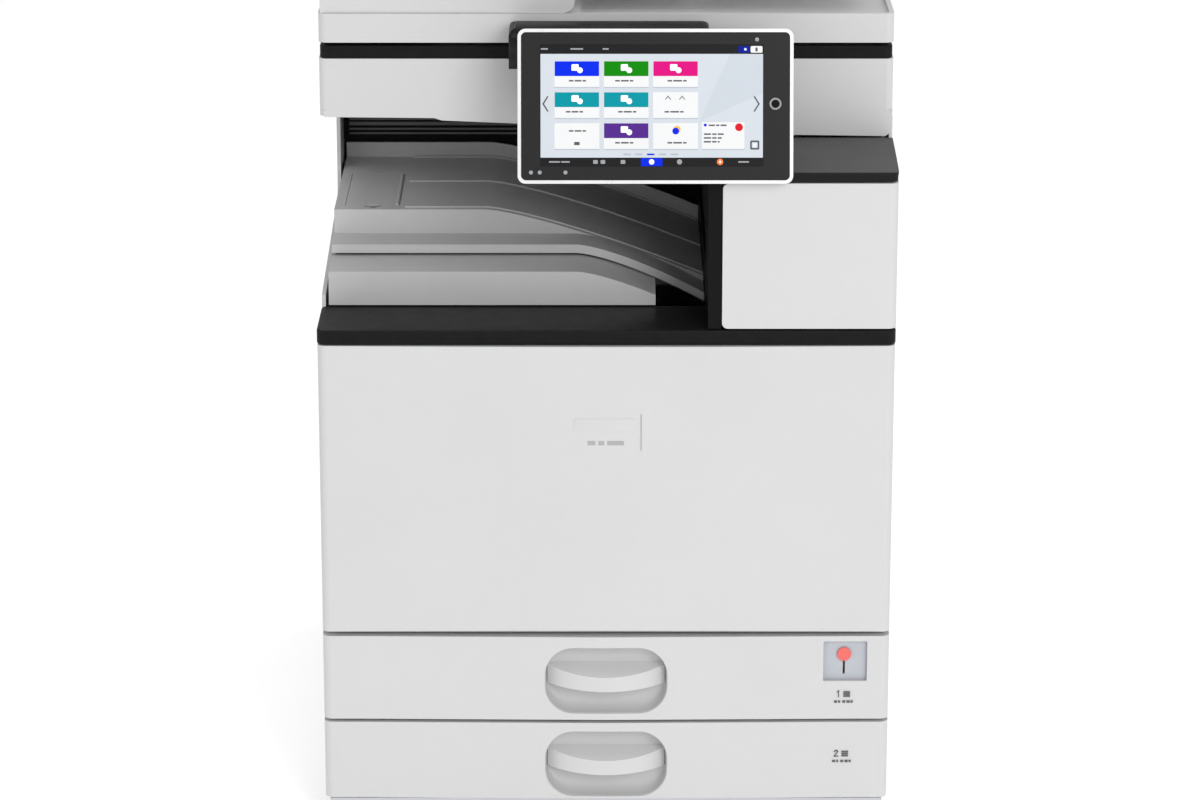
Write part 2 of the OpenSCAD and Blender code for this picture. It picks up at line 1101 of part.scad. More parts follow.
module head_outline(g) {
    pane([head_x[0] + g, head_x[1] - g], [head_z[0] + g, head_z[1] - g], 12 - g);
    translate([head_x[0] + g, head_z[0] + g])
        square([30, 20]);
}

module feeder_head() {
    color(white)
        from_front()
            difference() {
                union() {
                    for (y = [110, 548])
                        along_y(y, y + 12)
                            difference() {
                                head_outline(0);
                                translate([head_x[1] - 26, 862])
                                    square([30, 22]);
                            }
                    block([head_x[0], head_x[1] - 12], [110, 560], [head_z[0], 845]);
                    block([head_x[0], head_x[0] + 4], [110, 560], [head_z[0], 862]);
                    // paper deck below the pickup roller
                    block([-150, -44], [121, 549], [858, 861]);
                }
                rod_y(pickup_c[0], pickup_c[1], 4.05, 100, 570);
            }
}

module feed_cover() {
    color(white)
        from_front()
            along_y(122.5, 547.5)
                difference() {
                    head_outline(0.01);
                    head_outline(4);
                    translate([head_x[0] - 1, head_z[0] - 1])
                        square([300, 27]);
                    translate([head_x[1] - 20, head_z[0] - 1])
                        square([30, 56]);
                }
}

module pickup_roller() {
    color(black)
        from_front() {
            rod_y(pickup_c[0], pickup_c[1], 4, 114, 556);
            rod_y(pickup_c[0], pickup_c[1], 13, 306, 352);
        }
}

// outline of the sloping sheet tray, drawn out along Y
module tray_slope(z0, thick) {
    polygon([[-27, z0], [262, z0 + 24], [262, z0 + 24 + thick], [-27, z0 + thick]]);
}

module document_tray() {
    color(white)
        from_front()
            difference() {
                union() {
                    along_y(150, 546)
                        tray_slope(866, 5);
                    for (y = [150, 542])
                        along_y(y, y + 4)
                            tray_slope(866, 11);
                    for (y = [153, 537])
                        along_y(y, y + 6)
                            polygon([[-26, 866], [-48, 866], [-48, 872], [-26, 872]]);
                }
                // slot for the link between the two guides
                along_y(200, 500)
                    translate([88, 860])
                        square([8, 40]);
            }
}

// one sheet guide; s = 1 for the front one
module sheet_guide(y, s) {
    along_y(min(y, y + s * 3), max(y, y + s * 3))
        polygon([[40, 877.5], [150, 886.7], [150, 904], [128, 905], [46, 898], [40, 892]]);
    along_y(min(y, y - s * 30), max(y, y - s * 30))
        polygon([[60, 879.2], [130, 885.0], [130, 887.6], [60, 881.8]]);
}

module guide_front() {
    color(light)
        from_front()
            sheet_guide(206, 1);
}

module guide_rear() {
    color(light)
        from_front()
            sheet_guide(494, -1);
}

base_frame();
feet();
front_frame();
rear_frame();
left_cover();
rear_cover();
right_cover();
ledge();
bay_liner();
output_tray();
tray_stopper();
exit_cover();
shoulder();
scanner_case();
scanner_rim();
platen_glass();
scan_rails();
panel_arm();
power_inlet();
laser_unit();
imaging_case();
fuser_case();
drive_motor();
circuit_boards();
feeder_hinges();
front_cover();
drawer_1_front();
drawer_1_box();
drawer_1_lift_plate();
drawer_1_front_fence();
drawer_1_rear_fence();
drawer_1_end_fence();
gauge_flag();
drawer_2_front();
drawer_2_box();
drawer_2_lift_plate();
drawer_2_front_fence();
drawer_2_rear_fence();
drawer_2_end_fence();
duplex_door();
transfer_roller();
bypass_tray();
toner_bottle();
drum();
fuser_roller();
pressure_roller();
exit_roller();
carriage_1();
carriage_2();
panel_case();
panel_glass();
panel_button();
feeder_base();
feeder_pad();
feeder_head();
feed_cover();
document_tray();
guide_front();
guide_rear();
pickup_roller();
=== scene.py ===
"""Looks of a floor-standing A3 photocopier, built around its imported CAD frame.

Each sub-assembly is a class. Sizes are in millimetres from the front cover's plane (X right,
Y to the rear, Z up) and Datum turns them into metres in the frame.
"""

import json
import logging
import math
from collections.abc import Callable
from dataclasses import dataclass, field
from enum import Enum

import bmesh
import bpy
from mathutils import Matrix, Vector

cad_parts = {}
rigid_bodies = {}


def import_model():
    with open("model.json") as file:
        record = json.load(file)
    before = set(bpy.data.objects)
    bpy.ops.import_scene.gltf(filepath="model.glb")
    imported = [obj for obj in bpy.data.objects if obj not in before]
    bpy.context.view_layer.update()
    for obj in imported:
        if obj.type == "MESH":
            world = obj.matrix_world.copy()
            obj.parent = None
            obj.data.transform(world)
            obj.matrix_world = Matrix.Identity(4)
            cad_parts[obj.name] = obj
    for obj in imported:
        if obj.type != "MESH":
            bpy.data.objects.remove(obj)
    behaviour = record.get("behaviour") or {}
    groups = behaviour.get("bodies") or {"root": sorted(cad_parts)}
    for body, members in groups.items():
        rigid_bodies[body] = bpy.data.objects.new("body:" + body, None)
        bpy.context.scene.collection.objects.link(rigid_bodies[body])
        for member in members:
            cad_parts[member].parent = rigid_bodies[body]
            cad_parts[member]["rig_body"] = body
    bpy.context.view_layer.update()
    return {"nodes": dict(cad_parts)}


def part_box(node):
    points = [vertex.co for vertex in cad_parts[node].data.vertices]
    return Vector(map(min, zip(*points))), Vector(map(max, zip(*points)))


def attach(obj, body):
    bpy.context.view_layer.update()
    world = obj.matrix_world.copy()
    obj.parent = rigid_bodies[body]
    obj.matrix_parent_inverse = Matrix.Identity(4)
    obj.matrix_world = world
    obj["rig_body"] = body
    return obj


LOG = logging.getLogger("photocopier")
MM = 0.001
CREASE = 32.0  # angle over which an edge is a real one, in degrees
DUST = (0.62, 0.61, 0.58)
Colour = tuple[float, float, float]
Point = tuple[float, float, float]
Flat = tuple[float, float]


class Slot(Enum):
    """The record's material slots."""

    WHITE_SHELL = "white_shell"
    LIGHT_PLASTIC = "light_plastic"
    TRAY_GREY = "tray_grey"
    MID_GREY = "mid_grey"
    DARK_PLASTIC = "dark_plastic"
    BLACK_PLASTIC = "black_plastic"
    SILVER = "silver"
    SCREEN_GLASS = "screen_glass"
    GLASS = "glass"
    STEEL = "steel"
    FRAME_STEEL = "frame_steel"
    RUBBER = "rubber"
    DRUM_GREEN = "drum_green"
    FUSER_BROWN = "fuser_brown"
    BOARD_GREEN = "board_green"
    FOAM_WHITE = "foam_white"
    RED = "red"
    TONER_BLACK = "toner_black"


# ---- shared shader effects ----


class EffectGroup:
    """A shader node group with named sockets, built once and placed in many materials."""

    def __init__(self, name: str, inputs: dict[str, float], outputs: list[str]) -> None:
        """Makes the empty group.

        Args:
            name: name of the group.
            inputs: value sockets and their defaults.
            outputs: value sockets that the group gives back.
        """
        self.tree = bpy.data.node_groups.new(name, "ShaderNodeTree")
        for key, value in inputs.items():
            made = self.tree.interface.new_socket(
                name=key, in_out="INPUT", socket_type="NodeSocketFloat"
            )
            made.default_value = value
        for key in outputs:
            self.tree.interface.new_socket(
                name=key, in_out="OUTPUT", socket_type="NodeSocketFloat"
            )
        self.source = self.tree.nodes.new("NodeGroupInput")
        self.sink = self.tree.nodes.new("NodeGroupOutput")

    def node(self, kind: str, **settings: object) -> bpy.types.Node:
        """Adds a node and sets its properties."""
        made = self.tree.nodes.new(kind)
        for key, value in settings.items():
            setattr(made, key, value)
        return made

    def link(self, start: bpy.types.NodeSocket, end: bpy.types.NodeSocket) -> None:
        """Joins two sockets."""
        self.tree.links.new(start, end)

    def math(
        self, operation: str, first: object, second: object = 0.5
    ) -> bpy.types.NodeSocket:
        """Adds a math node.

        Args:
            operation: Blender's name of the operation.
            first: a socket or a number.
            second: a socket or a number.

        Returns:
            The node's value socket.
        """
        made = self.node("ShaderNodeMath", operation=operation)
        for i, value in enumerate((first, second)):
            if isinstance(value, bpy.types.NodeSocket):
                self.link(value, made.inputs[i])
            else:
                made.inputs[i].default_value = float(value)
        return made.outputs[0]

    def noise(
        self, scale: object, detail: float = 3.0, stretch: Point | None = None
    ) -> bpy.types.NodeSocket:
        """Adds a noise on the piece's own coordinates.

        Args:
            scale: a socket or a number of cycles per metre.
            detail: octaves of the noise.
            stretch: scale of each axis, for streaks.

        Returns:
            The noise's value socket.
        """
        place = self.node("ShaderNodeTexCoord").outputs["Object"]
        if stretch is not None:
            mapping = self.node("ShaderNodeMapping")
            mapping.inputs["Scale"].default_value = stretch
            self.link(place, mapping.inputs["Vector"])
            place = mapping.outputs["Vector"]
        made = self.node("ShaderNodeTexNoise")
        made.inputs["Detail"].default_value = detail
        self.link(place, made.inputs["Vector"])
        if isinstance(scale, bpy.types.NodeSocket):
            self.link(scale, made.inputs["Scale"])
        else:
            made.inputs["Scale"].default_value = float(scale)
        return made.outputs["Fac"]


class Effects:
    """The groups that the finishes share."""

    def __init__(self) -> None:
        """Builds every group once."""
        self.grain = self._grain()
        self.wear = self._wear_and_highlight()
        self.dust = self._dust()
        self.streaks = self._streaks()

    @staticmethod
    def _grain() -> bpy.types.NodeTree:
        """Moulded grain: a fine height, a roughness that varies and a slow change of shade."""
        g = EffectGroup(
            "moulded_grain",
            {"Scale": 1200.0, "Roughness": 0.45, "Spread": 0.1},
            ["Height", "Roughness", "Shade"],
        )
        fine = g.noise(g.source.outputs["Scale"], 2.0)
        slow = g.noise(7.0, 2.0)
        patch = g.noise(60.0, 4.0)
        g.link(fine, g.sink.inputs["Height"])
        swing = g.math("MULTIPLY", g.math("SUBTRACT", patch, 0.5), g.source.outputs["Spread"])
        fine_swing = g.math(
            "MULTIPLY", g.math("SUBTRACT", fine, 0.5), g.source.outputs["Spread"]
        )
        both = g.math("ADD", swing, fine_swing)
        g.link(
            g.math("ADD", g.source.outputs["Roughness"], both), g.sink.inputs["Roughness"]
        )
        mixed = g.math("ADD", g.math("MULTIPLY", slow, 0.7), g.math("MULTIPLY", patch, 0.3))
        g.link(mixed, g.sink.inputs["Shade"])
        return g.tree

    @staticmethod
    def _wear_and_highlight() -> bpy.types.NodeTree:
        """Handled edges and painted edge highlight: a mask on the convex edges, broken up by noise,
        that lightens them both as wear and as a painted highlight.
        """
        g = EffectGroup("edge_wear_and_highlight", {"Start": 0.52, "Width": 0.08, "Breakup": 90.0}, ["Mask"])
        point = g.node("ShaderNodeNewGeometry").outputs["Pointiness"]
        ramp = g.node("ShaderNodeMapRange")
        g.link(point, ramp.inputs["Value"])
        g.link(g.source.outputs["Start"], ramp.inputs["From Min"])
        g.link(
            g.math("ADD", g.source.outputs["Start"], g.source.outputs["Width"]),
            ramp.inputs["From Max"],
        )
        broken = g.noise(g.source.outputs["Breakup"], 4.0)
        g.link(
            g.math("MULTIPLY", ramp.outputs["Result"], g.math("ADD", broken, 0.3)),
            g.sink.inputs["Mask"],
        )
        return g.tree

    @staticmethod
    def _dust() -> bpy.types.NodeTree:
        """Settled dust: a mask on the faces that look up, thicker in patches."""
        g = EffectGroup("settled_dust", {"Amount": 0.1, "Scale": 40.0}, ["Mask"])
        split = g.node("ShaderNodeSeparateXYZ")
        g.link(g.node("ShaderNodeNewGeometry").outputs["Normal"], split.inputs[0])
        ramp = g.node("ShaderNodeMapRange")
        ramp.inputs["From Min"].default_value = 0.55
        g.link(split.outputs["Z"], ramp.inputs["Value"])
        patch = g.noise(g.source.outputs["Scale"], 6.0)
        cover = g.math("MULTIPLY", ramp.outputs["Result"], patch)
        g.link(g.math("MULTIPLY", cover, g.source.outputs["Amount"]), g.sink.inputs["Mask"])
        return g.tree

    @staticmethod
    def _streaks() -> bpy.types.NodeTree:
        """Drawn or rolled metal: long streaks that change height, roughness and shade."""
        g = EffectGroup(
            "rolled_streaks",
            {"Scale": 900.0, "Roughness": 0.35, "Spread": 0.12},
            ["Height", "Roughness", "Shade"],
        )
        line = g.noise(g.source.outputs["Scale"], 3.0, (0.03, 1.0, 1.0))
        g.link(line, g.sink.inputs["Height"])
        swing = g.math("MULTIPLY", g.math("SUBTRACT", line, 0.5), g.source.outputs["Spread"])
        g.link(
            g.math("ADD", g.source.outputs["Roughness"], swing), g.sink.inputs["Roughness"]
        )
        g.link(g.math("ADD", g.math("MULTIPLY", line, 0.4), 0.3), g.sink.inputs["Shade"])
        return g.tree


class Surface(Enum):
    """Which shared effect gives a finish its texture."""

    MOULDED = "grain"
    ROLLED = "streaks"


@dataclass(frozen=True)
class Finish:
    """An opaque finish: plastic, rubber, paint or metal.

    Attributes:
        name: name of the material.
        colour: its base colour.
        roughness: its mean roughness, which spread varies over the surface.
        metallic: how far it is a metal.
        grain: scale of its texture, in cycles per metre.
        depth: height of the texture, in metres.
        shade: how far the colour varies over the surface.
        dust: share of settled dust on the faces that look up.
        wear: share of wear and of painted edge highlight on the convex edges, in
            wear_and_highlight_colour.
        coat: weight of the clear coat.
        glow: strength of its own light.
        split_z: height under which it takes the colour below, in millimetres; 0 for none.
        surface: the effect that textures it.
    """

    name: str
    colour: Colour
    roughness: float = 0.45
    spread: float = 0.12
    metallic: float = 0.0
    grain: float = 1300.0
    depth: float = 0.00004
    shade: float = 0.04
    dust: float = 0.0
    wear: float = 0.0
    wear_and_highlight_colour: Colour = (0.9, 0.9, 0.9)
    coat: float = 0.0
    glow: float = 0.0
    specular: float = 0.5
    split_z: float = 0.0
    below: Colour = (0.0, 0.0, 0.0)
    surface: Surface = Surface.MOULDED

    def build(self, effects: Effects) -> bpy.types.Material:
        """Makes the material.

        Args:
            effects: the shared node groups.

        Returns:
            The material, with its shader and its placed effects.
        """
        made = bpy.data.materials.new(self.name)
        made.use_nodes = True
        tree = made.node_tree
        shader = tree.nodes["Principled BSDF"]
        shader.inputs["Metallic"].default_value = self.metallic
        shader.inputs["Coat Weight"].default_value = self.coat
        shader.inputs["Coat Roughness"].default_value = 0.08
        shader.inputs["Specular IOR Level"].default_value = self.specular
        texture = tree.nodes.new("ShaderNodeGroup")
        texture.node_tree = getattr(effects, self.surface.value)
        texture.inputs["Scale"].default_value = self.grain
        texture.inputs["Roughness"].default_value = self.roughness
        texture.inputs["Spread"].default_value = self.spread
        tree.links.new(texture.outputs["Roughness"], shader.inputs["Roughness"])
        bump = tree.nodes.new("ShaderNodeBump")
        bump.inputs["Distance"].default_value = self.depth
        bump.inputs["Strength"].default_value = 0.6
        tree.links.new(texture.outputs["Height"], bump.inputs["Height"])
        tree.links.new(bump.outputs["Normal"], shader.inputs["Normal"])
        colour = self._shaded(tree, texture.outputs["Shade"])
        if self.split_z > 0.0:
            colour = self._mixed(tree, colour, self.below, self._under(tree), 1.0)
        # convex edges lightened in a light colour, both as wear and as a painted highlight
        if self.wear > 0.0:
            worn_and_highlighted = tree.nodes.new("ShaderNodeGroup")
            worn_and_highlighted.node_tree = effects.wear
            colour = self._mixed(
                tree, colour, self.wear_and_highlight_colour, worn_and_highlighted.outputs["Mask"], self.wear
            )
        if self.dust > 0.0:
            settled = tree.nodes.new("ShaderNodeGroup")
            settled.node_tree = effects.dust
            settled.inputs["Amount"].default_value = self.dust
            colour = self._mixed(
                tree, colour, DUST, settled.outputs["Mask"], 1.0
            )
        tree.links.new(colour, shader.inputs["Base Color"])
        if self.glow > 0.0:
            tree.links.new(colour, shader.inputs["Emission Color"])
            shader.inputs["Emission Strength"].default_value = self.glow
        return made

    def _under(self, tree: bpy.types.NodeTree) -> bpy.types.NodeSocket:
        """Masks what is lower than the finish's parting height."""
        split = tree.nodes.new("ShaderNodeSeparateXYZ")
        place = tree.nodes.new("ShaderNodeTexCoord")
        tree.links.new(place.outputs["Object"], split.inputs[0])
        lower = tree.nodes.new("ShaderNodeMath")
        lower.operation = "LESS_THAN"
        lower.inputs[1].default_value = self.split_z * MM
        tree.links.new(split.outputs["Z"], lower.inputs[0])
        return lower.outputs[0]

    def _shaded(
        self, tree: bpy.types.NodeTree, shade: bpy.types.NodeSocket
    ) -> bpy.types.NodeSocket:
        """Varies the colour a little over the surface.

        Args:
            tree: the material's tree.
            shade: the effect's slow variation.

        Returns:
            The colour socket.
        """
        ramp = tree.nodes.new("ShaderNodeValToRGB")
        low, high = 1.0 - self.shade, 1.0 + self.shade
        ramp.color_ramp.elements[0].position = 0.35
        ramp.color_ramp.elements[1].position = 0.65
        ramp.color_ramp.elements[0].color = (*[c * low for c in self.colour], 1.0)
        ramp.color_ramp.elements[1].color = (*[min(1.0, c * high) for c in self.colour], 1.0)
        tree.links.new(shade, ramp.inputs["Fac"])
        return ramp.outputs["Color"]

    @staticmethod
    def _mixed(
        tree: bpy.types.NodeTree,
        base: bpy.types.NodeSocket,
        over: Colour,
        mask: bpy.types.NodeSocket,
        share: float,
    ) -> bpy.types.NodeSocket:
        """Lays a second colour over the first where the mask says.

        Args:
            tree: the material's tree.
            base: the colour below.
            over: the colour on top.
            mask: where the top colour shows.
            share: how much of the mask is used.

        Returns:
            The mixed colour socket.
        """
        scaled = tree.nodes.new("ShaderNodeMath")
        scaled.operation = "MULTIPLY"
        scaled.use_clamp = True
        tree.links.new(mask, scaled.inputs[0])
        scaled.inputs[1].default_value = share
        mix = tree.nodes.new("ShaderNodeMix")
        mix.data_type = "RGBA"
        tree.links.new(scaled.outputs[0], mix.inputs["Factor"])
        tree.links.new(base, mix.inputs["A"])
        mix.inputs["B"].default_value = (*over, 1.0)
        return mix.outputs["Result"]


@dataclass(frozen=True)
class ClearGlass:
    """Clear float glass with faint wipe marks in its gloss."""

    name: str
    tint: Colour = (0.82, 0.93, 0.92)

    def build(self, effects: Effects) -> bpy.types.Material:
        """Makes the glass.

        Args:
            effects: the shared node groups.

        Returns:
            The material.
        """
        made = bpy.data.materials.new(self.name)
        made.use_nodes = True
        tree = made.node_tree
        shader = tree.nodes["Principled BSDF"]
        shader.inputs["Base Color"].default_value = (*self.tint, 1.0)
        shader.inputs["Transmission Weight"].default_value = 1.0
        shader.inputs["IOR"].default_value = 1.5
        wiped = tree.nodes.new("ShaderNodeGroup")
        wiped.node_tree = effects.grain
        wiped.inputs["Scale"].default_value = 35.0
        wiped.inputs["Roughness"].default_value = 0.03
        wiped.inputs["Spread"].default_value = 0.05
        tree.links.new(wiped.outputs["Roughness"], shader.inputs["Roughness"])
        return made


WHITE = (0.572, 0.572, 0.575)

SLOT_FINISHES: dict[Slot, Finish | ClearGlass] = {
    Slot.WHITE_SHELL: Finish("white_shell", WHITE, 0.42, shade=0.012, dust=0.05, depth=0.00003),
    Slot.LIGHT_PLASTIC: Finish("light_plastic", (0.54, 0.54, 0.55), 0.45, dust=0.08),
    Slot.TRAY_GREY: Finish(
        "tray_grey", (0.495, 0.495, 0.495), 0.5, grain=1000.0, depth=0.00007, shade=0.03, dust=0.06
    ),
    Slot.MID_GREY: Finish(
        "mid_grey", (0.095, 0.095, 0.098), 0.42, dust=0.03, wear=0.1, specular=0.3
    ),
    Slot.DARK_PLASTIC: Finish(
        "dark_plastic", (0.006, 0.006, 0.0064), 0.38, dust=0.01, wear=0.04, specular=0.06
    ),
    Slot.BLACK_PLASTIC: Finish(
        "black_plastic", (0.007, 0.007, 0.007), 0.45, dust=0.01, specular=0.06
    ),
    Slot.SILVER: Finish(
        "silver", (0.78, 0.78, 0.79), 0.3, metallic=0.35, shade=0.02, depth=0.00001, coat=0.3
    ),
    Slot.SCREEN_GLASS: Finish(
        "screen_glass",
        (0.02, 0.02, 0.021),
        0.24,
        0.04,
        shade=0.02,
        depth=0.000004,
        coat=0.06,
        specular=0.15,
    ),
    Slot.GLASS: ClearGlass("platen_clear"),
    Slot.STEEL: Finish(
        "bright_steel", (0.6, 0.6, 0.61), 0.28, metallic=1.0, surface=Surface.ROLLED, wear=0.2
    ),
    Slot.FRAME_STEEL: Finish(
        "zinc_sheet",
        (0.52, 0.53, 0.55),
        0.4,
        metallic=0.9,
        surface=Surface.ROLLED,
        grain=500.0,
        shade=0.1,
    ),
    Slot.RUBBER: Finish(
        "rubber", (0.03, 0.03, 0.031), 0.75, grain=700.0, depth=0.0001, dust=0.08
    ),
    Slot.DRUM_GREEN: Finish("drum_coating", (0.05, 0.3, 0.24), 0.16, 0.04, coat=0.8),
    Slot.FUSER_BROWN: Finish("fuser_sleeve", (0.22, 0.11, 0.06), 0.4, wear=0.1),
    Slot.BOARD_GREEN: Finish("board_laminate", (0.03, 0.16, 0.07), 0.4, shade=0.2, grain=400.0),
    Slot.FOAM_WHITE: Finish(
        "foam_sheet", (0.86, 0.86, 0.84), 0.7, grain=500.0, depth=0.0002, shade=0.03
    ),
    Slot.RED: Finish("gauge_red", (0.75, 0.13, 0.11), 0.45, grain=900.0),
    Slot.TONER_BLACK: Finish("toner_black", (0.03, 0.03, 0.032), 0.38, wear=0.1, dust=0.05),
}


class Wardrobe:
    """Builds each finish once and hands it out."""

    def __init__(self) -> None:
        """Builds the shared effects and starts empty."""
        self.effects = Effects()
        self.made: dict[str, bpy.types.Material] = {}

    def get(self, finish: Finish | ClearGlass) -> bpy.types.Material:
        """Returns the material of a finish."""
        if finish.name not in self.made:
            self.made[finish.name] = finish.build(self.effects)
        return self.made[finish.name]

    def slot(self, slot: Slot) -> bpy.types.Material:
        """Returns the material of one of the record's slots."""
        return self.get(SLOT_FINISHES[slot])


# ---- shapes ----


def rounded(a: Flat, b: Flat, radius: float, steps: int = 6) -> list[Flat]:
    """Outline of a rounded rectangle, counter-clockwise.

    Args:
        a: lower corner.
        b: upper corner.
        radius: corner radius.
        steps: segments in each corner.

    Returns:
        The outline's points.
    """
    centres = [
        (b[0] - radius, b[1] - radius),
        (a[0] + radius, b[1] - radius),
        (a[0] + radius, a[1] + radius),
        (b[0] - radius, a[1] + radius),
    ]
    points = []
    for quarter, (cu, cv) in enumerate(centres):
        for i in range(steps + 1):
            t = math.pi / 2 * (quarter + i / steps)
            points.append((cu + radius * math.cos(t), cv + radius * math.sin(t)))
    return points


def disc(cu: float, cv: float, radius: float, steps: int = 24) -> list[Flat]:
    """Outline of a circle."""
    return [
        (
            cu + radius * math.cos(2 * math.pi * i / steps),
            cv + radius * math.sin(2 * math.pi * i / steps),
        )
        for i in range(steps)
    ]


def stroke(points: list[Flat], width: float) -> list[list[Flat]]:
    """Outlines of a drawn line, one four-cornered piece for each stretch.

    Args:
        points: the line's corners.
        width: width of the stroke.

    Returns:
        The outlines.
    """
    outlines = []
    for (u0, v0), (u1, v1) in zip(points, points[1:]):
        run = math.hypot(u1 - u0, v1 - v0)
        du, dv = (u1 - u0) / run * width / 2, (v1 - v0) / run * width / 2
        outlines.append(
            [
                (u0 - du + dv, v0 - dv - du),
                (u1 + du + dv, v1 + dv - du),
                (u1 + du - dv, v1 + dv + du),
                (u0 - du - dv, v0 - dv + du),
            ]
        )
    return outlines


@dataclass
class Datum:
    """Turns millimetres from the front cover's plane into metres in the frame."""

    front: float

    def at(self, x: float, y: float, z: float) -> Vector:
        """The frame's point for a place on the machine."""
        return Vector((x * MM, self.front + y * MM, z * MM))


@dataclass
class Workshop:
    """Makes, finishes and mounts the pieces."""

    datum: Datum
    wardrobe: Wardrobe
    nodes: dict[str, bpy.types.Object]
    bodies: dict[str, str]
    smoother: bpy.types.NodeTree = field(init=False)

    def __post_init__(self) -> None:
        """Builds the shared edge smoother."""
        self.smoother = self._smoother()

    @staticmethod
    def _smoother() -> bpy.types.NodeTree:
        """Geometry nodes that smooth a mesh except across its real edges."""
        tree = bpy.data.node_groups.new("smooth_but_edges", "GeometryNodeTree")
        tree.interface.new_socket(
            name="Geometry", in_out="INPUT", socket_type="NodeSocketGeometry"
        )
        tree.interface.new_socket(
            name="Geometry", in_out="OUTPUT", socket_type="NodeSocketGeometry"
        )
        start, end = tree.nodes.new("NodeGroupInput"), tree.nodes.new("NodeGroupOutput")
        drop = tree.nodes.new("GeometryNodeRemoveAttribute")
        drop.inputs["Name"].default_value = "custom_normal"
        faces = tree.nodes.new("GeometryNodeSetShadeSmooth")
        faces.domain = "FACE"
        faces.inputs["Shade Smooth"].default_value = True
        edges = tree.nodes.new("GeometryNodeSetShadeSmooth")
        edges.domain = "EDGE"
        edges.inputs["Shade Smooth"].default_value = False
        angle = tree.nodes.new("GeometryNodeInputMeshEdgeAngle")
        over = tree.nodes.new("ShaderNodeMath")
        over.operation = "GREATER_THAN"
        over.inputs[1].default_value = math.radians(CREASE)
        tree.links.new(start.outputs[0], drop.inputs["Geometry"])
        tree.links.new(drop.outputs[0], faces.inputs["Geometry"])
        tree.links.new(faces.outputs[0], edges.inputs["Geometry"])
        tree.links.new(angle.outputs[0], over.inputs[0])
        tree.links.new(over.outputs[0], edges.inputs["Selection"])
        tree.links.new(edges.outputs[0], end.inputs[0])
        return tree

    def edges(self, piece: bpy.types.Object, width: float, segments: int = 3) -> None:
        """Rounds a piece's real edges with modifiers.

        Args:
            piece: the piece.
            width: width of the rounding, in millimetres.
            segments: strips across the rounding.
        """
        weld = piece.modifiers.new("join_faces", "WELD")
        weld.merge_threshold = 0.00001
        flats = piece.modifiers.new("clean_flats", "DECIMATE")
        flats.decimate_type = "DISSOLVE"
        flats.angle_limit = math.radians(0.1)
        smooth = piece.modifiers.new("smooth", "NODES")
        smooth.node_group = self.smoother
        if width > 0:
            bevel = piece.modifiers.new("rounding", "BEVEL")
            bevel.width = width * MM
            bevel.segments = segments
            bevel.limit_method = "ANGLE"
            bevel.angle_limit = math.radians(CREASE)
            bevel.harden_normals = True
            bevel.use_clamp_overlap = True
            bevel.miter_outer = "MITER_ARC"

    def carry(
        self, node: str, width: float = 0.6, finish: Finish | None = None, segments: int = 3
    ) -> bpy.types.Object:
        """Carries a CAD node over with rounded edges and its slot's finish.

        Args:
            node: the node's name.
            width: width of the edge rounding, in millimetres.
            finish: a finish of its own, where the slot's isn't used.
            segments: strips across the rounding.

        Returns:
            The node's object.
        """
        piece = self.nodes[node]
        slot = Slot(piece.data.materials[0].name.split(".")[0])
        material = self.wardrobe.get(finish) if finish else self.wardrobe.slot(slot)
        for i in range(len(piece.material_slots)):
            piece.material_slots[i].material = material
        self.edges(piece, width, segments)
        LOG.info("carried over %s", node)
        return piece

    def mount(
        self,
        name: str,
        mesh: bpy.types.Mesh,
        node: str,
        slot: Slot,
        finish: Finish | None = None,
    ) -> bpy.types.Object:
        """Mounts a made mesh on the body of a CAD node.

        Args:
            name: name of the piece.
            mesh: its mesh, in the frame's metres.
            node: CAD node whose body it rides on.
            slot: the record's slot that it takes its finish from.
            finish: a finish of its own, where the slot's isn't used.

        Returns:
            The piece.
        """
        piece = bpy.data.objects.new(name, mesh)
        bpy.context.scene.collection.objects.link(piece)
        if not mesh.materials:
            mesh.materials.append(
                self.wardrobe.get(finish) if finish else self.wardrobe.slot(slot)
            )
        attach(piece, self.bodies[node])
        LOG.info("made %s", name)
        return piece


class Shape:
    """A mesh under construction."""

    def __init__(self) -> None:
        """Starts an empty mesh."""
        self.bm = bmesh.new()

    def loft(self, rings: list[list[Vector]], caps: bool = True, smooth: bool = True) -> None:
        """Joins closed rings of equal length into a skin.

        Args:
            rings: the rings, in order.
            caps: whether the first and last rings are closed.
            smooth: whether the skin is shaded smooth.
        """
        made = [[self.bm.verts.new(p) for p in ring] for ring in rings]
        count = len(rings[0])
        for low, high in zip(made, made[1:]):
            for i in range(count):
                j = (i + 1) % count
                face = self.bm.faces.new((low[i], low[j], high[j], high[i]))
                face.smooth = smooth
        if caps:
            self.bm.faces.new(list(reversed(made[0])))
            self.bm.faces.new(made[-1])

    def plate(self, low: list[Vector], high: list[Vector], material: int = 0) -> None:
        """Adds a flat plate between two equal outlines.

        Args:
            low: outline of its back.
            high: outline of its front.
            material: index of its material.
        """
        back = [self.bm.verts.new(p) for p in low]
        front = [self.bm.verts.new(p) for p in high]
        count = len(low)
        made = [self.bm.faces.new(list(reversed(back))), self.bm.faces.new(front)]
        for i in range(count):
            j = (i + 1) % count
            made.append(self.bm.faces.new((back[i], back[j], front[j], front[i])))
        for face in made:
            face.material_index = material

    def finish(self, name: str, sharp: float = CREASE) -> bpy.types.Mesh:
        """Closes the work and gives the mesh.

        Args:
            name: name of the mesh.
            sharp: angle over which an edge stays crisp, in degrees.

        Returns:
            The mesh, with its normals facing out.
        """
        bmesh.ops.recalc_face_normals(self.bm, faces=self.bm.faces)
        mesh = bpy.data.meshes.new(name)
        self.bm.to_mesh(mesh)
        self.bm.free()
        mesh.set_sharp_from_angle(angle=math.radians(sharp))
        return mesh


# ---- sub-assemblies ----


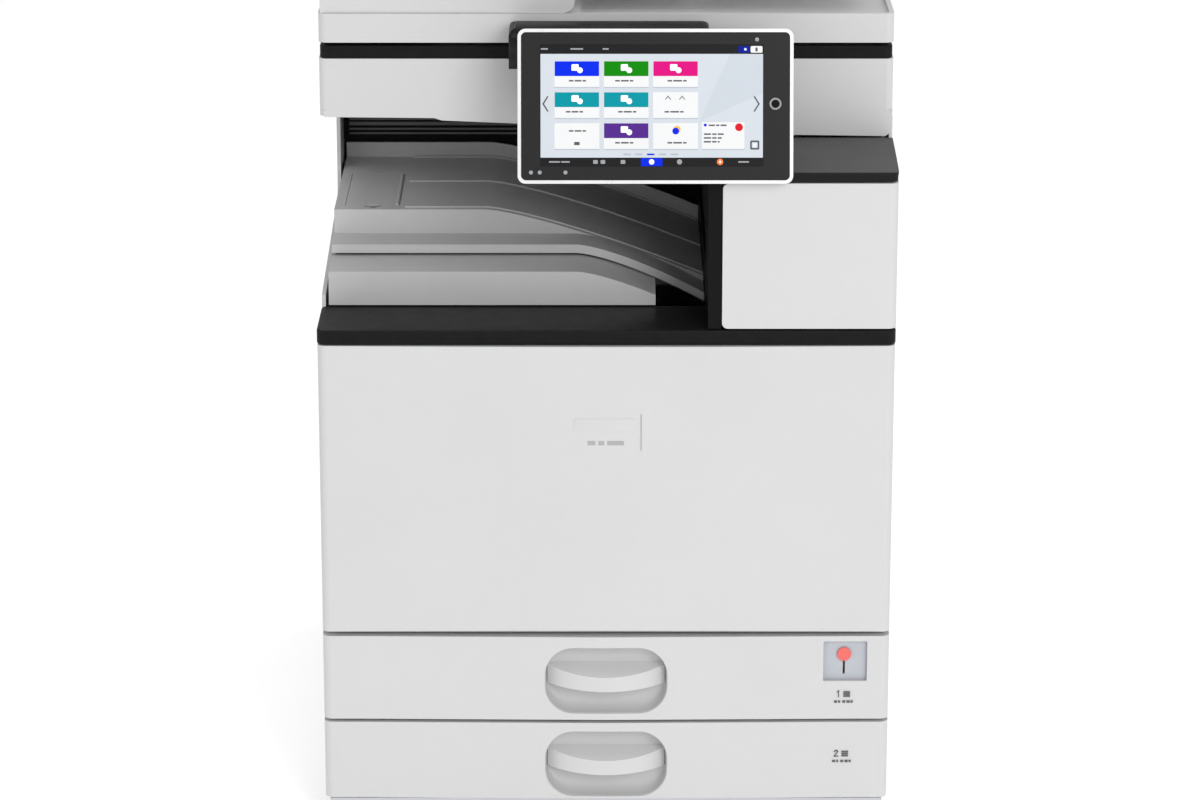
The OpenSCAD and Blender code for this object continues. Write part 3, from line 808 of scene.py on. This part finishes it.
class Ink(Enum):
    """Colours of the touch panel's picture."""

    NIGHT = (0.012, 0.012, 0.013)
    SKY = (0.55, 0.59, 0.635)
    DAWN = (0.51, 0.55, 0.6)
    SHADE = (0.4, 0.44, 0.5)
    PAPER = (0.72, 0.725, 0.73)
    WHITE = (0.92, 0.93, 0.95)
    TYPE = (0.09, 0.09, 0.1)
    DIM = (0.3, 0.31, 0.32)
    BLUE = (0.0, 0.02, 0.68)
    NAVY = (0.0, 0.01, 0.28)
    GREEN = (0.003, 0.21, 0.0)
    MAGENTA = (0.62, 0.003, 0.185)
    TEAL = (0.0, 0.255, 0.31)
    PURPLE = (0.075, 0.02, 0.225)
    AMBER = (0.85, 0.45, 0.03)
    ORANGE = (0.82, 0.2, 0.04)
    CRIMSON = (0.6, 0.01, 0.02)


@dataclass
class Covers:
    """The outer covers of the body."""

    shop: Workshop
    edge: float = 1.6

    def build(self) -> None:
        """Dresses the covers."""
        shop = self.shop
        shop.carry("front_cover", self.edge)
        for node in ("left_cover", "right_cover", "rear_cover", "duplex_door"):
            shop.carry(node, 1.0)
        shop.carry("exit_cover", self.edge)
        shop.carry("ledge", 2.2)
        shop.carry(
            "shoulder",
            1.2,
            Finish(
                "shoulder_grey",
                (0.08, 0.08, 0.082),
                0.45,
                specular=0.15,
                split_z=700.9,
                below=(0.006, 0.006, 0.006),
            ),
        )
        shop.carry("bypass_tray", 1.0)
        self._badge()

    def _badge(self) -> None:
        """A blank raised plate in the middle of the front cover."""
        shape = Shape()
        at = self.shop.datum.at
        rings = []
        for grow, y in ((0.0, -2.6), (0.0, -4.2), (-0.5, -4.45)):
            outline = rounded((-33 - grow, 433 - grow), (30 + grow, 445 + grow), 2.0)
            rings.append([at(u, y, v) for u, v in outline])
        shape.loft(rings)
        self.shop.mount(
            "front_badge", shape.finish("front_badge"), "front_cover", Slot.WHITE_SHELL
        )
        marks = Shape()
        bars = [((35.0, 411.0), (36.2, 450.0))]
        bars += [((left, 417.0), (left + run, 421.5)) for left, run in ((-19, 8), (-8, 6), (1, 17))]
        for a, b in bars:
            outline = rounded(a, b, 0.5, 3)
            marks.plate([at(u, -2.6, v) for u, v in outline], [at(u, -4.2, v) for u, v in outline])
        self.shop.mount(
            "front_badge_marks",
            marks.finish("front_badge_marks"),
            "front_cover",
            Slot.LIGHT_PLASTIC,
            Finish("badge_grey", (0.36, 0.36, 0.365), 0.4, shade=0.03),
        )


@dataclass
class OutputBay:
    """The bay between the body and the scanner, with its stepped tray."""

    shop: Workshop

    def build(self) -> None:
        """Dresses the bay."""
        self.shop.carry("bay_liner", 0.8)
        self.shop.carry("output_tray", 2.4, segments=4)
        self.shop.carry("tray_stopper", 0.5)
        self.shop.carry("exit_roller", 0.4)
        self._rib_painted_highlights()

    def _rib_painted_highlights(self) -> None:
        """Grey strips on the faces of the rear wall's ribs, and two thin beads under each rib, as a
        painted highlight on the black ribs.
        """
        shape = Shape()
        at = self.shop.datum.at
        for i in range(5):
            for low, tall, back, front in (
                (646.6, 3.8, 449.2, 448.7),
                (641.0, 2.2, 452.2, 450.8),
                (636.0, 2.2, 452.2, 450.8),
            ):
                outline = rounded((-283, low + 16 * i), (99, low + tall + 16 * i), 0.6, 3)
                shape.plate(
                    [at(u, back, v) for u, v in outline], [at(u, front, v) for u, v in outline]
                )
        self.shop.mount(
            "bay_rib_painted_highlights",
            shape.finish("bay_rib_painted_highlights"),
            "bay_liner",
            Slot.BLACK_PLASTIC,
            # grey over the black ribs and beads: painted highlight
            Finish("rib_painted_highlight_grey", (0.1, 0.1, 0.102), 0.5, shade=0.05),
        )


@dataclass
class PaperDrawer:
    """One paper drawer with its grip, its fences and its lift plate."""

    shop: Workshop
    number: int
    grip_z: float
    grip_half: Flat = (63.5, 36.0)
    grip_radius: float = 30.0
    label: Flat = (246.0, 148.0)

    def build(self) -> None:
        """Dresses the drawer."""
        shop, n = self.shop, self.number
        shop.carry(f"drawer_{n}_front", 1.3)
        for part in ("box", "lift_plate", "front_fence", "rear_fence", "end_fence"):
            shop.carry(f"drawer_{n}_{part}", 0.4)
        self._dish()
        self._marks()
        if n == 1:
            self._gauge()

    def _dish(self) -> None:
        """The smooth bowl inside the finger recess, in a white darker than the shell as painted
        shade.
        """
        at = self.shop.datum.at
        half_u, half_v = self.grip_half
        profile = []
        steps = 10
        for i in range(steps + 1):
            t = math.pi / 2 * i / steps
            fall = 1 - math.cos(t)
            profile.append((0.2 + 3.0 * fall, 0.2 + 15.5 * fall, -2.2 + 16.6 * math.sin(t)))
        front = []
        for side, inset, depth in profile:
            outline = rounded(
                (-half_u + side, self.grip_z - half_v + inset),
                (half_u - side, self.grip_z + half_v - inset),
                self.grip_radius - inset,
                10,
            )
            front.append([at(u, depth, v) for u, v in outline])
        shape = Shape()
        shape.loft(front, caps=False)
        shape.bm.faces.new(self._last(shape, front))
        mesh = shape.finish(f"drawer_{self.number}_grip_bowl")
        piece = self.shop.mount(
            f"drawer_{self.number}_grip_bowl",
            mesh,
            f"drawer_{self.number}_front",
            Slot.WHITE_SHELL,
            # a darker white than the shell: painted shade inside the finger recess
            Finish("recess_painted_shade_white", (0.51, 0.51, 0.513), 0.5, shade=0.012),
        )
        solid = piece.modifiers.new("wall", "SOLIDIFY")
        solid.thickness = 0.5 * MM
        solid.offset = 0.0

    @staticmethod
    def _last(shape: Shape, rings: list[list[Vector]]) -> list[bmesh.types.BMVert]:
        """The vertices of the last ring."""
        shape.bm.verts.ensure_lookup_table()
        return [shape.bm.verts[i] for i in range(-len(rings[-1]), 0)]

    def _gauge(self) -> None:
        """The grey scale plate at the back of the paper gauge's window."""
        at = self.shop.datum.at
        shape = Shape()
        for a, b in (
            ((225.0, 160.3), (245.1, 203.3)),
            ((247.7, 160.3), (269.7, 203.3)),
            ((245.1, 191.2), (247.7, 203.3)),
            ((245.1, 160.3), (247.7, 165.8)),
        ):
            outline = [a, (b[0], a[1]), b, (a[0], b[1])]
            shape.plate([at(u, 5.95, v) for u, v in outline], [at(u, 5.5, v) for u, v in outline])
        self.shop.mount(
            "drawer_1_gauge_scale",
            shape.finish("drawer_1_gauge_scale"),
            "drawer_1_front",
            Slot.MID_GREY,
            Finish("gauge_grey", (0.44, 0.46, 0.5), 0.4, shade=0.05),
        )

    def _marks(self) -> None:
        """A plain numeral, a sheet symbol and a row of size marks beside the grip."""
        cu, cv = self.label
        if self.number == 1:
            digit = stroke([(-6.2, 2.2), (-5.0, 3.4), (-5.0, -3.2)], 0.9)
        else:
            digit = stroke(
                [(-7.4, 2.0), (-6.4, 3.3), (-4.6, 3.3), (-3.9, 2.0), (-7.4, -3.0), (-3.6, -3.0)],
                0.9,
            )
        outlines = list(digit)
        for k in range(3):
            outlines.append(rounded((0.0, -3.2 + 2.3 * k), (7.0, -1.7 + 2.3 * k), 0.3, 2))
        for k, width in enumerate((3.2, 2.0, 3.0, 3.4, 2.2)):
            left = -9.5 + 4.3 * k
            outlines.append(rounded((left, -9.6), (left + width, -7.2), 0.4, 2))
        shape = Shape()
        at = self.shop.datum.at
        for outline in outlines:
            back = [at(cu + u, 0.3, cv + v) for u, v in outline]
            front = [at(cu + u, -1.05, cv + v) for u, v in outline]
            shape.plate(back, front)
        self.shop.mount(
            f"drawer_{self.number}_marks",
            shape.finish(f"drawer_{self.number}_marks"),
            f"drawer_{self.number}_front",
            Slot.MID_GREY,
            Finish("printed_grey", (0.09, 0.09, 0.095), 0.5, shade=0.05),
        )


@dataclass
class Scanner:
    """The scanner above the bay, with its glass and its carriages."""

    shop: Workshop

    def build(self) -> None:
        """Dresses the scanner."""
        shop = self.shop
        shop.carry("scanner_case", 4.0, segments=4)
        shop.carry("scanner_rim", 1.8)
        shop.carry("platen_glass", 0.0)
        shop.carry("scan_rails", 0.3)
        shop.carry("carriage_1", 0.5)
        shop.carry("carriage_2", 0.5)


@dataclass
class TouchPanel:
    """The tilting touch panel with its picture."""

    shop: Workshop
    x: float = 48.9
    y: float = -20.0
    z: float = 694.7
    tilt: float = math.radians(13.1)
    glass: float = 0.6
    key: Flat = (119.5, 79.5)

    def on_face(self, u: float, v: float, depth: float) -> Vector:
        """A point on the panel.

        Args:
            u: right from the panel's middle.
            v: up its face from the lower edge.
            depth: behind the plane of its rim.

        Returns:
            The point in the frame.
        """
        return self.shop.datum.at(
            self.x + u,
            self.y + v * math.sin(self.tilt) + depth * math.cos(self.tilt),
            self.z + v * math.cos(self.tilt) - depth * math.sin(self.tilt),
        )

    def build(self) -> None:
        """Dresses the panel."""
        shop = self.shop
        shop.carry("panel_arm", 2.0)
        shop.carry("panel_case", 1.0)
        shop.carry("panel_glass", 0.3)
        shop.carry("panel_button", 0.5, Finish("button_grey", (0.28, 0.28, 0.285), 0.35))
        self._key_centre()
        self._picture()

    def _key_centre(self) -> None:
        """The dark middle of the round key."""
        shape = Shape()
        outline = disc(*self.key, 3.9)
        shape.plate(
            [self.on_face(u, v, 0.95) for u, v in outline],
            [self.on_face(u, v, 0.5) for u, v in outline],
        )
        self.shop.mount(
            "panel_button_centre",
            shape.finish("panel_button_centre"),
            "panel_button",
            Slot.BLACK_PLASTIC,
        )

    def _picture(self) -> None:
        """The lit picture on the glass: tiles, bars, arrows and keys with plain marks."""
        inks = list(Ink)
        art: list[tuple[Ink, list[Flat], int]] = []

        def lay(ink: Ink, outline: list[Flat], level: int = 1) -> None:
            """Adds one outline of the picture at a level above the glass."""
            art.append((ink, outline, level))

        def pane(ink: Ink, a: Flat, b: Flat, radius: float = 0.4, level: int = 1) -> None:
            """Adds one rounded pane of the picture."""
            lay(ink, rounded(a, b, radius, 3), level)

        def words(left: float, base: float, lengths: tuple[float, ...], ink: Ink) -> None:
            """Adds a line of plain dashes where a caption would stand."""
            for length in lengths:
                pane(ink, (left, base), (left + length, base + 1.5), 0.3, 4)
                left += length + 1.1

        pane(Ink.NIGHT, (-115.0, 17.0), (107.6, 138.6), 0.5, 0)
        pane(Ink.SKY, (-114.4, 26.0), (107.0, 129.0), 0.4, 1)
        lay(Ink.DAWN, [(44.0, 62.0), (107.0, 90.0), (107.0, 129.0), (74.0, 129.0)], 2)
        for k, (row, column, head) in enumerate(
            (
                (0, 0, Ink.BLUE),
                (0, 1, Ink.GREEN),
                (0, 2, Ink.MAGENTA),
                (1, 0, Ink.TEAL),
                (1, 1, Ink.TEAL),
                (1, 2, Ink.PAPER),
                (2, 0, Ink.PAPER),
                (2, 1, Ink.PURPLE),
                (2, 2, Ink.PAPER),
            )
        ):
            left, top = -100.6 + 49.1 * column, 122.0 - 30.8 * row
            mid = left + 22.4
            pane(Ink.SHADE, (left + 0.2, top - 26.8), (left + 44.6, top - 1.0), 0.6, 2)
            pane(Ink.PAPER, (left, top - 25.8), (left + 44.8, top), 0.6, 3)
            if head is not Ink.PAPER:
                pane(head, (left + 0.3, top - 15.0), (left + 44.5, top - 0.3), 0.4, 4)
                pane(Ink.WHITE, (mid - 5.4, top - 9.6), (mid + 1.8, top - 3.2), 1.0, 5)
                lay(Ink.WHITE, disc(mid + 3.0, top - 9.2, 2.9, 16), 6)
            caption = 8.6 if (row, column) == (2, 0) else 20.4
            words(mid - 8.0 - k % 2 * 3, top - caption, (4.6, 6.8 + k % 3, 3.4), Ink.TYPE)
        self._marks(lay, pane, words)
        shape = Shape()
        for ink, outline, level in art:
            front = self.glass - 0.06 - 0.055 * level
            shape.plate(
                [self.on_face(u, v, front + 0.05) for u, v in outline],
                [self.on_face(u, v, front) for u, v in outline],
                inks.index(ink),
            )
        mesh = shape.finish("panel_picture")
        for ink in inks:
            mesh.materials.append(
                self.shop.wardrobe.get(
                    Finish(
                        f"screen_{ink.name.lower()}",
                        ink.value,
                        0.25,
                        0.03,
                        depth=0.000002,
                        shade=0.02,
                        coat=0.04,
                        specular=0.1,
                        glow=0.08,
                    )
                )
            )
        self.shop.mount("panel_picture", mesh, "panel_glass", Slot.SCREEN_GLASS)

    @staticmethod
    def _marks(
        lay: Callable[..., None], pane: Callable[..., None], words: Callable[..., None]
    ) -> None:
        """The small marks of the picture: icons, card, arrows, bars and keys.

        Args:
            lay: adds an outline at a level.
            pane: adds a rounded pane.
            words: adds a line of dashes.
        """
        # open tile, list tile and round tile
        for u in (10.0, 24.0):
            for outline in stroke([(u, 84.0), (u + 2.5, 87.0), (u + 5.0, 84.0)], 0.8):
                lay(Ink.TYPE, outline, 4)
        pane(Ink.TYPE, (-81.0, 38.4), (-75.4, 41.6), 0.6, 4)
        lay(Ink.AMBER, disc(21.5, 54.0, 3.6, 20), 4)
        lay(Ink.BLUE, disc(20.2, 52.4, 3.4, 20), 5)
        # message card with its round mark
        pane(Ink.SHADE, (46.4, 33.6), (89.0, 60.4), 0.6, 2)
        pane(Ink.PAPER, (46.2, 34.6), (88.8, 61.4), 0.6, 3)
        lay(Ink.CRIMSON, disc(83.2, 56.2, 3.9, 24), 5)
        lay(Ink.BLUE, disc(49.6, 58.4, 1.5, 12), 5)
        words(53.0, 57.4, (6.2, 3.4, 6.0), Ink.TYPE)
        for k in range(3):
            words(48.2, 48.6 - 3.8 * k, (7.2, 4.4, 6.0 - 2.0 * k), Ink.TYPE)
        # square key, arrows and page dashes
        pane(Ink.TYPE, (94.4, 34.0), (103.4, 43.0), 1.2, 4)
        pane(Ink.SKY, (96.0, 35.6), (101.8, 41.4), 0.8, 5)
        pane(Ink.PAPER, (97.2, 36.8), (100.6, 40.2), 0.4, 6)
        for side, u in ((-1, -109.8), (1, 101.0)):
            for outline in stroke(
                [(u - side * 2.4, 86.4), (u + side * 2.0, 79.4), (u - side * 2.4, 72.4)], 1.3
            ):
                lay(Ink.TYPE, outline, 4)
        for k in range(5):
            ink = Ink.BLUE if k == 2 else Ink.SHADE
            pane(ink, (-32.0 + 11.8 * k, 28.4), (-24.6 + 11.8 * k, 30.0), 0.4, 4)
        # upper bar
        for left, length in ((-114.0, 7.0), (-84.6, 12.6), (-52.6, 6.0)):
            words(left, 133.2, (length,), Ink.DIM)
        pane(Ink.NAVY, (82.6, 130.4), (93.6, 136.6), 0.4, 3)
        lay(Ink.PAPER, disc(89.4, 133.6, 1.3, 10), 5)
        pane(Ink.PAPER, (94.6, 130.2), (106.4, 136.8), 1.2, 3)
        pane(Ink.TYPE, (99.4, 131.4), (101.6, 135.4), 0.8, 5)
        # lower bar with the home key
        words(-106.0, 21.0, (11.0, 8.6), Ink.DIM)
        words(82.6, 21.0, (10.6,), Ink.DIM)
        for left in (-62.0, -54.6, -34.6):
            pane(Ink.DIM, (left, 19.8), (left + 4.6, 23.6), 0.8, 3)
        pane(Ink.BLUE, (-14.4, 17.6), (7.0, 25.6), 0.3, 3)
        lay(Ink.WHITE, disc(-3.8, 21.8, 2.7, 16), 5)
        lay(Ink.DIM, disc(24.0, 21.8, 2.6, 16), 3)
        lay(Ink.ORANGE, disc(64.4, 21.8, 3.2, 20), 3)
        lay(Ink.WHITE, disc(64.4, 21.8, 1.2, 12), 5)
        # status lamps below the picture and the sensor above it
        for u in (-124.0, -115.2, -89.6):
            lay(Ink.DIM, disc(u, 11.2, 2.0, 14), 0)
        lay(Ink.DIM, disc(101.0, 143.4, 2.0, 14), 0)


@dataclass
class Feeder:
    """The document feeder, which is also the lid."""

    shop: Workshop

    def build(self) -> None:
        """Dresses the feeder."""
        shop = self.shop
        shop.carry("feeder_base", 2.2)
        shop.carry("feeder_pad", 2.0)
        shop.carry("feeder_head", 1.0)
        shop.carry("feed_cover", 1.2)
        shop.carry("document_tray", 1.0)
        shop.carry("guide_front", 0.5)
        shop.carry("guide_rear", 0.5)
        shop.carry("pickup_roller", 0.4)
        shop.carry("feeder_hinges", 0.6)


@dataclass
class InnerWorks:
    """The frame and everything that works inside it."""

    shop: Workshop

    def build(self) -> None:
        """Dresses the inner pieces."""
        for node in (
            "base_frame",
            "front_frame",
            "rear_frame",
            "laser_unit",
            "imaging_case",
            "fuser_case",
            "drive_motor",
            "circuit_boards",
            "power_inlet",
            "toner_bottle",
            "drum",
            "transfer_roller",
            "fuser_roller",
            "pressure_roller",
        ):
            self.shop.carry(node, 0.4, segments=2)
        self.shop.carry("feet", 1.2)
        self.shop.carry("gauge_flag", 0.4)


# ---- studio ----


@dataclass
class Studio:
    """A pale floor, soft light and the camera.

    Attributes:
        distance: from the camera to the front cover's plane.
        eye: height of the camera.
        pitch: how far the camera looks down.
        lens: its focal length, in millimetres.
        side: how far it stands to the right of the middle.
    """

    distance: float = 4.2
    eye: float = 1.716
    pitch: float = math.radians(16.6)
    lens: float = 129.4
    side: float = -0.0063

    def build(self, datum: Datum) -> None:
        """Sets the floor, the lights and the camera.

        Args:
            datum: gives the plane of the front cover.
        """
        self._floor()
        self._world()
        self._light("key", (1.9, -4.6, 2.5), 2.2, 106.0, (0.0, 0.0, 0.85))
        self._light("fill", (-2.6, -3.6, 1.8), 2.6, 12.0, (0.0, 0.0, 0.6))
        self._light("top", (0.0, 0.2, 4.0), 2.6, 30.0, (0.0, 0.0, 0.4))
        self._camera(datum)

    @staticmethod
    def _floor() -> None:
        """A wide pale floor, a little darker far in front of the machine."""
        mesh = bpy.data.meshes.new("floor")
        bm = bmesh.new()
        bmesh.ops.create_grid(bm, x_segments=8, y_segments=8, size=22.0)
        bm.to_mesh(mesh)
        bm.free()
        made = bpy.data.objects.new("floor", mesh)
        bpy.context.scene.collection.objects.link(made)
        material = bpy.data.materials.new("studio_floor")
        material.use_nodes = True
        shader = material.node_tree.nodes["Principled BSDF"]
        shader.inputs["Roughness"].default_value = 0.9
        shader.inputs["Specular IOR Level"].default_value = 0.1
        shader.inputs["Emission Strength"].default_value = 0.36
        tree = material.node_tree
        split = tree.nodes.new("ShaderNodeSeparateXYZ")
        place = tree.nodes.new("ShaderNodeTexCoord")
        tree.links.new(place.outputs["Object"], split.inputs[0])
        ramp = tree.nodes.new("ShaderNodeMapRange")
        ramp.interpolation_type = "SMOOTHSTEP"
        ramp.inputs["From Min"].default_value = -2.6
        ramp.inputs["From Max"].default_value = -0.3
        tree.links.new(split.outputs["Y"], ramp.inputs["Value"])
        for socket, near, far in (("Base Color", 0.88, 0.95), ("Emission Color", 0.7, 1.0)):
            mix = tree.nodes.new("ShaderNodeMix")
            mix.data_type = "RGBA"
            mix.inputs["A"].default_value = (near, near, near, 1.0)
            mix.inputs["B"].default_value = (far, far, far, 1.0)
            tree.links.new(ramp.outputs["Result"], mix.inputs["Factor"])
            tree.links.new(mix.outputs["Result"], shader.inputs[socket])
        mesh.materials.append(material)

    @staticmethod
    def _world() -> None:
        """An even white surround."""
        world = bpy.data.worlds.new("studio")
        world.use_nodes = True
        back = world.node_tree.nodes["Background"]
        back.inputs["Color"].default_value = (1.0, 1.0, 1.0, 1.0)
        back.inputs["Strength"].default_value = 0.6
        bpy.context.scene.world = world

    @staticmethod
    def _light(name: str, place: Point, size: float, power: float, aim: Point) -> None:
        """Adds a soft square light.

        Args:
            name: its name.
            place: where it hangs.
            size: its side.
            power: its power in watts.
            aim: the point that it faces.
        """
        data = bpy.data.lights.new(name, "AREA")
        data.size = size
        data.energy = power
        made = bpy.data.objects.new(name, data)
        made.location = place
        made.rotation_euler = (
            (Vector(aim) - Vector(place)).to_track_quat("-Z", "Y").to_euler()
        )
        bpy.context.scene.collection.objects.link(made)

    def _camera(self, datum: Datum) -> None:
        """Places the camera in front of the machine, looking down on it."""
        data = bpy.data.cameras.new("camera")
        data.lens = self.lens
        data.sensor_width = 36.0
        data.clip_end = 60.0
        made = bpy.data.objects.new("camera", data)
        made.location = (self.side, datum.front - self.distance, self.eye)
        made.rotation_euler = (math.pi / 2 - self.pitch, 0.0, 0.0)
        bpy.context.scene.collection.objects.link(made)
        bpy.context.scene.camera = made
        bpy.context.scene.view_settings.view_transform = "Standard"


def main() -> None:
    """Builds the looks of the whole machine."""
    logging.basicConfig(level=logging.INFO, format="%(name)s: %(message)s")
    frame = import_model()
    datum = Datum(front=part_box("ledge")[0].y)
    bodies = {n: o["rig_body"] for n, o in frame["nodes"].items()}
    shop = Workshop(datum, Wardrobe(), frame["nodes"], bodies)
    assemblies = [
        Covers(shop),
        OutputBay(shop),
        PaperDrawer(shop, 1, 161.5, label=(246.0, 146.0)),
        PaperDrawer(shop, 2, 69.5, label=(245.0, 80.0)),
        Scanner(shop),
        TouchPanel(shop),
        Feeder(shop),
        InnerWorks(shop),
    ]
    for assembly in assemblies:
        LOG.info("building %s", type(assembly).__name__)
        assembly.build()
    Studio().build(datum)
    bpy.context.view_layer.update()


if __name__ == "__main__":
    main()
